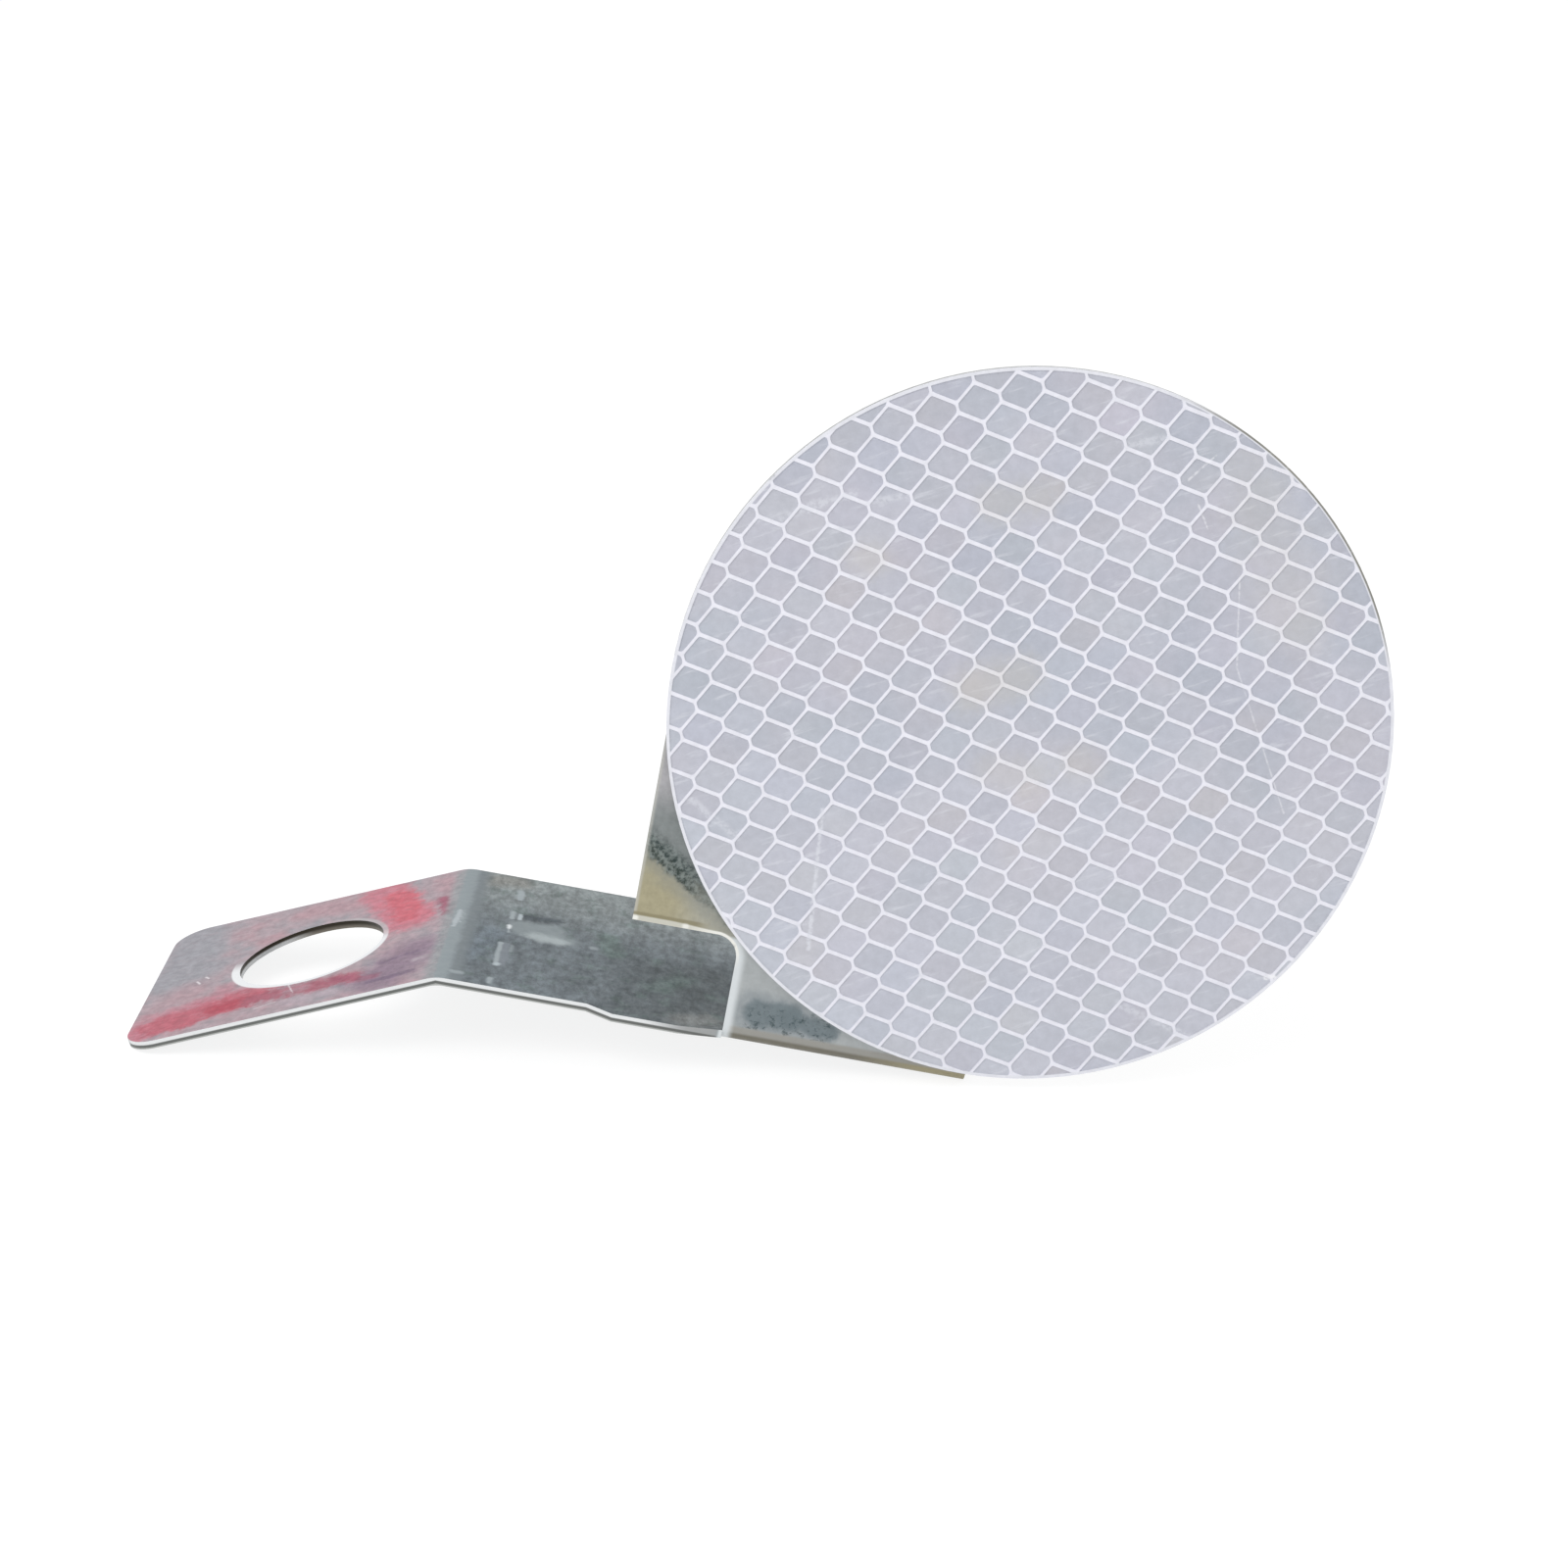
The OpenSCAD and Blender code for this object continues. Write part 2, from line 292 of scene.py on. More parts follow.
def raggedEdge(tree, place, coarse, fine):
    # two sizes of noise added up, from about -1 to 1
    wide, small = (calc(tree, "SUBTRACT", noise(tree, place, scale, *fray["detail"]), fray["middle"])
                   for scale in (coarse, fine))
    small = calc(tree, "MULTIPLY", small, fray["fineGain"])
    return calc(tree, "MULTIPLY_ADD", wide, fray["coarseGain"], small)


# galvanised sheet of the bracket

steelLook = {
    "back": (160, 166, 168), "backDark": (126, 133, 136), "pale": (226, 229, 230),
    # the tab's light tones: worn zinc with a painted reflection in them
    "tab": (178, 161, 168), "tabGrey": (161, 161, 168), "tabPink": (185, 152, 160),
    "lilac": (181, 168, 177),
    "rose": (196, 130, 144), "redSoft": (190, 106, 120), "redDull": (172, 102, 118),
    "redDeep": (181, 79, 95), "coralLight": (203, 128, 142), "coral": (208, 104, 117),
    "magenta": (160, 84, 108), "violet": (147, 127, 144), "violetDark": (116, 98, 122),
    "edgeGrey": (156, 161, 164), "scratch": (232, 226, 230),
    # the strip's dark tones below are a painted reflection
    "strip": (113, 121, 126), "stripRearReflection": (140, 147, 148), "stripRightReflection": (91, 98, 101),
    # first a painted shadow, then tints
    "stripShadow": (80, 88, 94), "green": (100, 116, 112), "warm": (140, 138, 132), "blue": (112, 124, 134),
    # painted highlights along the bend, and a painted glint
    "bend": (151, 160, 164), "bendRight": (129, 137, 141), "bendGlint": (204, 211, 216),
    "mark": (168, 177, 181), "markDull": (136, 143, 150), "markBright": (188, 198, 203),
    "markWhite": (238, 242, 245), "glare": (146, 155, 158), "glareBright": (178, 187, 189),
    # painted highlight on the curl by the neck
    "curlHighlight": (128, 131, 130),
    "straw": (173, 167, 142), "strawRight": (176, 174, 160), "plateMid": (142, 147, 147),
    # the plate's top, and a painted highlight along its left edge
    "plateTop": (180, 179, 182), "plateEdgeHighlight": (200, 200, 194),
    "crystalDark": (66, 75, 74), "crystal": (134, 142, 140),
    # painted highlights on the lip and the neck's left edge, and a painted shade line above the lip
    "lipHighlight": (206, 205, 194), "lipHighlightBright": (244, 244, 238), "lipShade": (146, 140, 116),
    # the neck, then painted shade low on it and at the foot of the fold
    "neck": (176, 180, 181), "neckHighlight": (220, 225, 227), "neckLowShade": (162, 161, 156),
    "neckFootShade": (130, 127, 117), "neckFootShadeRight": (168, 161, 136),
    # a painted highlight ring round the lens
    "lens": (123, 133, 137), "lensDark": (78, 89, 91), "lensRingHighlight": (156, 162, 165),
    # cut edges: a painted highlight above and painted shade below
    "cutHighlight": (232, 234, 235), "cutShade": (118, 120, 118), "edgeFoot": (186, 188, 186),
    "cutHighlightCurl": (168, 170, 170),
    # the hole's wall in painted shade, darkest at the top, and painted highlights on its rolled rim
    "wallShadeTop": (74, 71, 66), "wallShadeLow": (132, 127, 119), "wallPale": (206, 207, 208),
    "rim": (240, 242, 244), "rimFarHighlight": (196, 197, 199),
}

# Strokes are listed by their two ends, half width, softness, fray, tint and strength, in millimetres.

# red paint and wear on the tab, from the bend (0) to its end (-46.7) and from the front edge back
tabStrokes = [
    ((-42.5, 24), (-42.5, 43), 4.8, 2.5, 0.9, "tabGrey", 0.95),
    ((-39, 26), (-37, 28), 2.5, 2.0, 0.9, "tabGrey", 0.8),
    ((-42, 13), (-40, 19), 3.5, 2.5, 1.0, "tabPink", 0.55),
    ((-25, 42), (-16, 41), 2.8, 1.8, 0.9, "tabPink", 0.8),
    ((-30.5, 33), (-29, 34), 1.6, 1.2, 0.7, "tabPink", 0.85),
    ((-36, 13), (-34, 17), 1.4, 1.0, 0.8, "rose", 0.5),
    ((-9, 6), (-4.5, 15), 4.2, 3.0, 1.2, "violet", 0.95),
    ((-14, 8), (-8, 9), 2.0, 1.5, 0.9, "violet", 0.7),
    ((-22, 5.5), (-16, 5.5), 1.6, 1.0, 0.7, "lilac", 0.8),
    ((-43, 9.5), (-30, 12.8), 3.2, 2.2, 1.4, "rose", 0.75),
    ((-45, 5.8), (-38, 8.3), 3.4, 1.4, 1.4, "rose", 1.0),
    ((-40.5, 5.8), (-37, 6.4), 1.5, 1.0, 0.9, "redDeep", 0.7),
    ((-42, 7.2), (-29, 10.6), 3.2, 1.3, 1.5, "redSoft", 1.0),
    ((-34, 9.2), (-27.5, 9.9), 1.8, 0.9, 1.3, "redDeep", 0.95),
    ((-28, 9.5), (-14, 9.5), 2.1, 1.1, 1.4, "redDull", 0.95),
    ((-23, 9.5), (-21, 9.5), 1.0, 0.8, 0.8, "lilac", 0.45),
    ((-16, 9.7), (-14, 9.6), 0.9, 0.6, 0.5, "magenta", 0.6),
    ((-12, 8), (-10, 7.8), 1.0, 0.7, 0.5, "magenta", 0.5),
    ((-10.5, 6), (-4, 6.6), 0.7, 0.5, 0.6, "violetDark", 0.6),
    ((-9.5, 12.5), (-4.5, 14), 0.6, 0.5, 0.6, "violetDark", 0.5),
    ((-13, 43), (-7.3, 28), 3.9, 1.6, 1.4, "coralLight", 0.95),
    ((-10.4, 39.5), (-7.2, 30), 2.5, 1.1, 1.4, "coral", 0.85),
    ((-5, 33), (-5, 27), 1.1, 0.7, 0.8, "coralLight", 0.7),
    ((-3, 40), (-2, 33), 1.4, 1.2, 0.9, "tabPink", 0.7),
    ((-2.6, 34), (-1.4, 28), 0.95, 0.5, 0.7, "magenta", 0.85),
    ((-4.2, 10.8), (-2.6, 11.4), 0.6, 0.4, 0.3, "lilac", 0.8),
    ((-0.4, 3), (-0.4, 44), 1.3, 0.9, 0.4, "edgeGrey", 0.85),
]

tabScratches = [
    ((-23.5, 12.2), (-22.2, 8.6), 0.14, 0.14, 0.16, "scratch", 0.65),
    ((-39.3, 22.1), (-38.7, 21), 0.18, 0.12, 0.12, "scratch", 0.9),
    ((-38.2, 23.3), (-37.6, 22.5), 0.2, 0.14, 0.12, "scratch", 0.9),
    ((-27.5, 5.4), (-24.5, 6.4), 0.1, 0.08, 0.1, "scratch", 0.5),
]

# patches, a painted shadow, a painted highlight on the curl, stamped marks, and painted glare and glint on the
# strip, along it and back
stripPatches = [
    ((-72, 12), (-69, 21), 2.4, 1.8, 0.9, "blue", 0.45),
    ((-72, 42), (-67, 43.5), 2.2, 1.6, 0.9, "warm", 0.6),
    ((-52, 27.5), (-51, 22), 1.7, 1.2, 1.0, "green", 0.7),
    ((-44, 12), (-40, 16.5), 1.9, 1.3, 1.0, "green", 0.5),
    # painted shadow
    ((-64.4, 29.8), (-60.4, 30.2), 1.2, 0.8, 0.7, "stripShadow", 0.8),
    # painted highlight on the curled front edge
    ((-39.6, 2.2), (-36, 3.6), 2.0, 1.4, 0.7, "curlHighlight", 0.75),
]

stripMarks = [
    ((-64.6, 25.3), (-60.6, 26), 2.5, 0.8, 0.7, "glare", 0.85),
    ((-60.6, 24.2), (-57.8, 23.4), 1.6, 1.0, 0.6, "glare", 0.75),
    ((-62.6, 23.2), (-59.2, 22.6), 1.3, 0.9, 0.6, "glareBright", 0.9),
    ((-66.2, 36.5), (-66.2, 39.6), 0.5, 0.3, 0.3, "mark", 0.95),
    ((-66.7, 28.6), (-66.7, 31), 0.42, 0.28, 0.25, "mark", 0.95),
    ((-65.5, 28.6), (-65.5, 30.4), 0.3, 0.22, 0.2, "markBright", 0.9),
    ((-66.7, 24.4), (-66.7, 25.6), 0.32, 0.3, 0.3, "markWhite", 0.85),
    ((-66.6, 23), (-66.7, 24), 0.22, 0.18, 0.15, "mark", 0.85),
    ((-66.6, 10.8), (-66.6, 18), 0.8, 0.4, 0.35, "markDull", 0.85),
    ((-67.3, 10.2), (-67.3, 18.4), 0.34, 0.24, 0.22, "mark", 0.9),
    ((-67.2, 10.3), (-67, 10.5), 0.5, 0.3, 0.2, "markBright", 0.9),
    ((-65.6, 16), (-65.6, 18), 0.28, 0.2, 0.2, "glare", 0.8),
    ((-53.9, 22.6), (-53.6, 22.6), 0.55, 0.4, 0.3, "mark", 0.6),
    ((-72.8, 5), (-71.8, 5), 0.55, 0.4, 0.3, "mark", 0.7),
    ((-67.5, 3.2), (-67.5, 5), 0.34, 0.24, 0.2, "mark", 0.85),
    # painted glint on the bend
    ((-74.6, 22), (-74.4, 28), 0.3, 0.35, 0.9, "bendGlint", 0.55),
]

tabPlan = {
    "clouds": (0.16, 4.0, 0.6),
    "greyToMauve": (0.3, 0.52),
    "pink": (0.5, 0.68, 0.0, 0.7),
    "smears": (0.85, 5.0, 0.65, (0.5, 1.3, 1)),
    "smeared": (0.3, 0.5, 0.68, 1.0),
    "grain": (0.9, 6.0, 0.75, (0.7, 0.7, 1)),
    "grainShade": (0.3, 0.7, 0.84, 1.16),
}


def paintTab(tree, look, place, ragged):
    # mauve worn zinc with red smears, its light tone partly a painted reflection; the smears break up along
    # the tab's length
    plan = tabPlan
    flat = vector(tree, "MULTIPLY", place, (1, 1, 0))
    clouds = noise(tree, flat, *plan["clouds"])
    # the grey and mauve tones carry a painted reflection
    colour = blendColour(tree, fade(tree, clouds, *plan["greyToMauve"]), look["tabGrey"], look["tab"])
    colour = blendColour(tree, fade(tree, clouds, *plan["pink"]), colour, look["tabPink"])
    smear = fade(tree, noise(tree, flat, *plan["smears"]), *plan["smeared"])
    colour = paintStrokes(tree, flat, ragged, colour, tabStrokes, look, smear)
    colour = paintStrokes(tree, flat, ragged, colour, tabScratches, look)
    return mottled(tree, colour, noise(tree, flat, *plan["grain"]), plan["grainShade"])


stripPlan = {
    "wander": 2.0,           # how far the fray moves the edges of the two areas
    "rear": (22, 42),
    "right": (-60, -38),
    "rightBack": (30, 18),
    "green": (0.3, 4.0, 0.65),
    "greenShare": (0.52, 0.66, 0.0, 0.45),
    "clouds": (0.24, 4.0, 0.65, (1, 0.6, 1)),
    "cloudShade": (0.32, 0.68, 0.85, 1.16),
    "blotches": (0.8, 5.0, 0.74, (1, 0.5, 1)),
    "blotchShade": (0.3, 0.7, 0.72, 1.32),
    "bendRight": (-70.5, -72.6),
    "bend": (-72.6, -73.8),
    "bendFray": 0.4,
}


def paintStrip(tree, look, place, ragged):
    # grey zinc, its dark tone a painted reflection, lighter at the back and darker at the right, with a
    # painted highlight along the bend
    plan = stripPlan
    x, y, _ = add(tree, "SeparateXYZ", {0: place}).outputs
    flat = vector(tree, "MULTIPLY", place, (1, 1, 0))
    wander = calc(tree, "MULTIPLY", ragged, plan["wander"])
    rear = fade(tree, calc(tree, "ADD", y, wander), *plan["rear"])
    right = both(tree, fade(tree, calc(tree, "ADD", x, wander), *plan["right"]),
                 fade(tree, y, *plan["rightBack"]))
    # painted reflection: lighter towards the back, darker towards the right
    colour = blendColour(tree, rear, look["strip"], look["stripRearReflection"])
    colour = blendColour(tree, right, colour, look["stripRightReflection"])
    colour = paintStrokes(tree, flat, ragged, colour, stripPatches, look)
    tinted = fade(tree, noise(tree, flat, *plan["green"]), *plan["greenShare"])
    colour = blendColour(tree, tinted, colour, look["green"])
    colour = mottled(tree, colour, noise(tree, flat, *plan["clouds"]), plan["cloudShade"])
    colour = mottled(tree, colour, noise(tree, flat, *plan["blotches"]), plan["blotchShade"])
    # painted highlight along the bend
    bend = fade(tree, calc(tree, "ADD", x, calc(tree, "MULTIPLY", ragged, plan["bendFray"])), *plan["bend"])
    colour = blendColour(tree, fade(tree, x, *plan["bendRight"]), colour, look["bendRight"])
    colour = blendColour(tree, bend, colour, look["bend"])
    return paintStrokes(tree, flat, ragged, colour, stripMarks, look)


platePlan = {
    "crystals": (1.15, 4.0, 0.7),
    "crystalLight": (0.37, 0.62),
    "bandSlope": 0.6,        # fall of the crystalline band to the right
    "bandHeight": 5.0,
    "bandFray": 0.9,
    "strawToRight": (-45, -39),
    "greyToTop": (27.5, 34),
    "aboveBand": (-0.5, 0.5),
    "grain": (0.9, 4.0, 0.65),
    "grainShade": (0.3, 0.7, 0.93, 1.07),
    "haloBelow": (-5.5, -1.5, 0.0, 0.5),
    "haloAbove": (1.5, 0),
    "bandBelow": (-2.3, -1.0),
    "bandAbove": (3.2, 0.8),
    "bandRight": (-40, -43, 0.6, 1.0),
    "bandShare": 0.92,
    "leftEdge": (-48.5, -48.95, 0.0, 0.6),
}


def paintPlate(tree, look, x, up, flat, ragged):
    # straw low down, a dark crystalline band that falls to the right, grey above it, and a painted highlight
    # along the left edge
    plan = platePlan
    crystals = fade(tree, noise(tree, flat, *plan["crystals"]), *plan["crystalLight"])
    dark = blendColour(tree, crystals, look["crystalDark"], look["crystal"])
    overBand = calc(tree, "MULTIPLY_ADD", x, plan["bandSlope"], calc(tree, "ADD", up, plan["bandHeight"]))
    overBand = calc(tree, "MULTIPLY_ADD", ragged, plan["bandFray"], overBand)
    low = blendColour(tree, fade(tree, x, *plan["strawToRight"]), look["straw"], look["strawRight"])
    high = blendColour(tree, fade(tree, up, *plan["greyToTop"]), look["plateMid"], look["plateTop"])
    plate = blendColour(tree, fade(tree, overBand, *plan["aboveBand"]), low, high)
    plate = mottled(tree, plate, noise(tree, flat, *plan["grain"]), plan["grainShade"])
    halo = both(tree, fade(tree, overBand, *plan["haloBelow"]), fade(tree, overBand, *plan["haloAbove"]))
    plate = blendColour(tree, halo, plate, look["plateMid"])
    band = both(tree, fade(tree, overBand, *plan["bandBelow"]), fade(tree, overBand, *plan["bandAbove"]),
                fade(tree, x, *plan["bandRight"]))
    plate = blendColour(tree, calc(tree, "MULTIPLY", band, plan["bandShare"]), plate, dark)
    # painted highlight along the left edge
    return blendColour(tree, fade(tree, x, *plan["leftEdge"]), plate, look["plateEdgeHighlight"])


neckPlan = {
    "spots": (0.9, 4.0, 0.75, (1, 1, 1.5)),
    "spotShare": (0.5, 0.66),
    "spotsLeft": (-32, -30),
    "spotsRight": (-17.5, -19.5),
    "spotsTop": (4.4, 3.4),
    "spotStrength": 0.8,
    "grain": (0.8, 4.0, 0.65),
    "grainShade": (0.3, 0.7, 0.95, 1.05),
    "low": (0.45, -0.1),
    "footToRight": (-16, -4),
    "foot": (-0.6, -1.15),
}

# lens-shaped dark patch low on the neck, along the strip and up the neck, inside a painted highlight ring
lensStrokes = [
    # painted highlight ring
    ((-29.8, 2.6), (-21, 2.2), 3.3, 0.8, 0.45, "lensRingHighlight", 0.8),
    ((-29.4, 2.6), (-25, 2.9), 2.0, 0.6, 0.45, "lens", 0.9),
    ((-25, 2.6), (-18.8, 1.8), 1.3, 0.6, 0.45, "lens", 0.9),
]


def paintNeck(tree, look, x, up, flat, front, ragged):
    # light, with a dark speckled lens low down at the left; painted shade darkens it low down and turns it
    # olive at the foot of the fold
    plan = neckPlan
    neck = paintStrokes(tree, front, ragged, look["neck"], lensStrokes, look)
    spots = both(tree, fade(tree, noise(tree, flat, *plan["spots"]), *plan["spotShare"]),
                 fade(tree, x, *plan["spotsLeft"]), fade(tree, x, *plan["spotsRight"]),
                 fade(tree, up, *plan["spotsTop"]))
    neck = blendColour(tree, calc(tree, "MULTIPLY", spots, plan["spotStrength"]), neck, look["lensDark"])
    neck = mottled(tree, neck, noise(tree, flat, *plan["grain"]), plan["grainShade"])
    # painted shade low down and at the fold's foot
    neck = blendColour(tree, fade(tree, up, *plan["low"]), neck, look["neckLowShade"])
    foot = blendColour(tree, fade(tree, x, *plan["footToRight"]), look["neckFootShade"], look["neckFootShadeRight"])
    return blendColour(tree, fade(tree, up, *plan["foot"]), neck, foot)


lipPlan = {
    "neckGlow": (1.7, 0.5, 0.0, 0.95),
    "plateFrom": (12.6, 13.2),
    "shadeInward": (1.4, 1.1),
    "shadeUp": (12.8, 13.2),
    "shadeLeft": (-38, -40.5),
    "shadeShare": 0.8,
    "brighterRight": (-43, -36),
    "width": (-44, -37, 0.74, 0.42),
    "edge": (0.12, -0.12),
    "up": (8, 12),
}

# burrs of bare metal on the plate's lower edge, shown as painted glints
burrStrokes = [
    ((-48.9, 13.3), (-48.7, 13.3), 0.35, 0.25, 0.0, "lipHighlightBright", 0.9),
    ((-41.7, 13.3), (-41.5, 13.3), 0.35, 0.25, 0.0, "lipHighlightBright", 0.8),
]


def paintHead(tree, look, place, ragged):
    # head plate and neck from the front, with a painted highlight along the lip between them and down the
    # neck's left edge, and a painted shade line above the lip
    plan = lipPlan
    x, _, up = add(tree, "SeparateXYZ", {0: place}).outputs
    flat = vector(tree, "MULTIPLY", place, (1, 0, 1))
    front = add(tree, "CombineXYZ", {0: x, 1: up}).outputs[0]
    plate = paintPlate(tree, look, x, up, flat, ragged)
    neck = paintNeck(tree, look, x, up, flat, front, ragged)

    # distance in from the outline, which runs along the plate's lower edge, round the fillet, down the neck
    radius = bracketPlan["neckFillet"]
    across = calc(tree, "MAXIMUM", calc(tree, "SUBTRACT", x, bracketPlan["neckLeft"] - radius), 0)
    above = calc(tree, "MAXIMUM", calc(tree, "SUBTRACT", up, bracketPlan["headBottom"] - radius), 0)
    corner = vector(tree, "LENGTH", add(tree, "CombineXYZ", {0: across, 1: above}).outputs[0], output=1)
    inward = calc(tree, "SUBTRACT", corner, radius)

    # painted highlight down the neck's left edge
    neck = blendColour(tree, fade(tree, inward, *plan["neckGlow"]), neck, look["neckHighlight"])
    face = blendColour(tree, fade(tree, up, *plan["plateFrom"]), neck, plate)
    # painted shade line above the lip
    shade = both(tree, fade(tree, inward, *plan["shadeInward"]), fade(tree, up, *plan["shadeUp"]),
                 fade(tree, x, *plan["shadeLeft"]))
    face = blendColour(tree, calc(tree, "MULTIPLY", shade, plan["shadeShare"]), face, look["lipShade"])
    # painted highlight on the lip, brighter to the right
    lipHighlight = blendColour(tree, fade(tree, x, *plan["brighterRight"]), look["lipHighlight"], look["lipHighlightBright"])
    pastLip = calc(tree, "SUBTRACT", inward, fade(tree, x, *plan["width"]))
    onLip = both(tree, fade(tree, pastLip, *plan["edge"]), fade(tree, up, *plan["up"]))
    face = blendColour(tree, onLip, face, lipHighlight)
    return paintStrokes(tree, front, ragged, face, burrStrokes, look)


cutPlan = {
    "toCurl": (-46, -38),
    "lowerHalf": (0.46, 0.64),
    "foot": (0.9, 1.1),
    "forward": (0.35, 0.6),
    "leftOfNeck": (-34.2, -35.0),
    "belowFold": (2.4, 1.8),
}


def paintCut(tree, look, colour, strip, height, forwardness):
    # cut front edges of strip and tab: a painted highlight on the upper half, dimmer towards the neck, painted
    # shade on the lower half, lighter at the foot
    plan = cutPlan
    x, _, z = add(tree, "SeparateXYZ", {0: strip}).outputs
    depth = calc(tree, "MINIMUM", calc(tree, "SUBTRACT", bracketPlan["sheet"], z),
                 calc(tree, "MULTIPLY", height, -1))
    # painted highlight above, painted shade below
    edge = blendColour(tree, fade(tree, x, *plan["toCurl"]), look["cutHighlight"], look["cutHighlightCurl"])
    edge = blendColour(tree, fade(tree, depth, *plan["lowerHalf"]), edge, look["cutShade"])
    edge = blendColour(tree, fade(tree, depth, *plan["foot"]), edge, look["edgeFoot"])
    onCut = both(tree, fade(tree, forwardness, *plan["forward"]), fade(tree, x, *plan["leftOfNeck"]),
                 fade(tree, z, *plan["belowFold"]))
    return blendColour(tree, onCut, colour, edge)


# ranges by radius, by height below the tab's face, and by direction from the hole's centre (-1 to 1)
holePlan = {
    "nearShine": (-0.35, 0.15),
    "rightShine": (-0.1, 0.6, 0.0, 0.6),
    "widerLeft": (-0.2, -0.9, 0.0, 0.5),     # the rim is wider at its left end
    "rimOuter": (11.95, 11.6),
    "rimInner": (10.8, 11.0),
    "rimFacing": (0.1, 0.4),
    "rimNear": (-0.3, 0.0),
    "wallDown": (-0.35, -1.1),
    "thinDown": (-0.45, -0.75),
    "thinLeft": (-0.1, -0.6),
    "wallOuter": (11.9, 11.4),
    "wallFacing": (0.35, 0.1),
    "awayFromBend": (-5, -8),
}


def paintHole(tree, look, colour, tab, facing):
    # bolt hole: a dark wall in painted shade, darkest at the top, and a rim rolled over by the punch, with a
    # painted highlight at the front and the ends
    plan = holePlan
    u, v, height = add(tree, "SeparateXYZ", {0: tab}).outputs
    centre = (-bracketPlan["holeFromBend"], bracketPlan["holeY"], 0)
    fromHole = vector(tree, "MULTIPLY", vector(tree, "SUBTRACT", tab, centre), (1, 1, 0))
    radius = vector(tree, "LENGTH", fromHole, output=1)
    lean = radians(bracketPlan["tabAngle"])
    tabUp = dot(tree, facing, (-sin(lean), 0, cos(lean)))
    near = calc(tree, "DIVIDE", calc(tree, "SUBTRACT", bracketPlan["holeY"], v), radius)
    rightward = calc(tree, "DIVIDE", calc(tree, "ADD", u, bracketPlan["holeFromBend"]), radius)

    shine = calc(tree, "MAXIMUM", fade(tree, near, *plan["nearShine"]),
                 fade(tree, rightward, *plan["rightShine"]))
    narrowed = calc(tree, "SUBTRACT", radius, fade(tree, rightward, *plan["widerLeft"]))
    onRim = both(tree, fade(tree, narrowed, *plan["rimOuter"]), fade(tree, radius, *plan["rimInner"]),
                 fade(tree, tabUp, *plan["rimFacing"]))
    # painted highlight on the rim, dimmer at the far side
    rim = blendColour(tree, fade(tree, near, *plan["rimNear"]), look["rimFarHighlight"], look["rim"])
    colour = blendColour(tree, both(tree, onRim, shine), colour, rim)

    # painted shade on the wall, darkest at the top
    wall = blendColour(tree, fade(tree, height, *plan["wallDown"]), look["wallShadeTop"], look["wallShadeLow"])
    thinned = both(tree, fade(tree, height, *plan["thinDown"]), fade(tree, rightward, *plan["thinLeft"]))
    wall = blendColour(tree, thinned, wall, look["wallPale"])
    onWall = both(tree, fade(tree, radius, *plan["wallOuter"]), fade(tree, tabUp, *plan["wallFacing"]),
                  fade(tree, u, *plan["awayFromBend"]))
    return blendColour(tree, onWall, colour, wall)


steelPlan = {
    "metallic": 0.6,
    "roughness": 0.42,
    "spangleSize": 3.4,
    "fray": (0.45, 1.6),
    "backShade": (0.3, 0.7),
    "backPale": (0.5, 0.8, 0.0, 0.3),
    "bendFray": 0.25,
    "onTab": (-74.9, -75.6),
    "upward": (0.45, 0.7),
    "forward": (0.12, 0.3),
    "headLeft": (-50, -49.6),
    "plateUp": (13.5, 14.5),
    "neckLeft": (-34.6, -34.1),
    "sheen": (0.042, 0.042, 0.042),
    "darkest": (0.004, 0.004, 0.004),
    "dullness": (0.2, 0.8, 0.52, 0.38),
    "grainStrength": 0.2,
    "grainDepth": 0.00005,
}


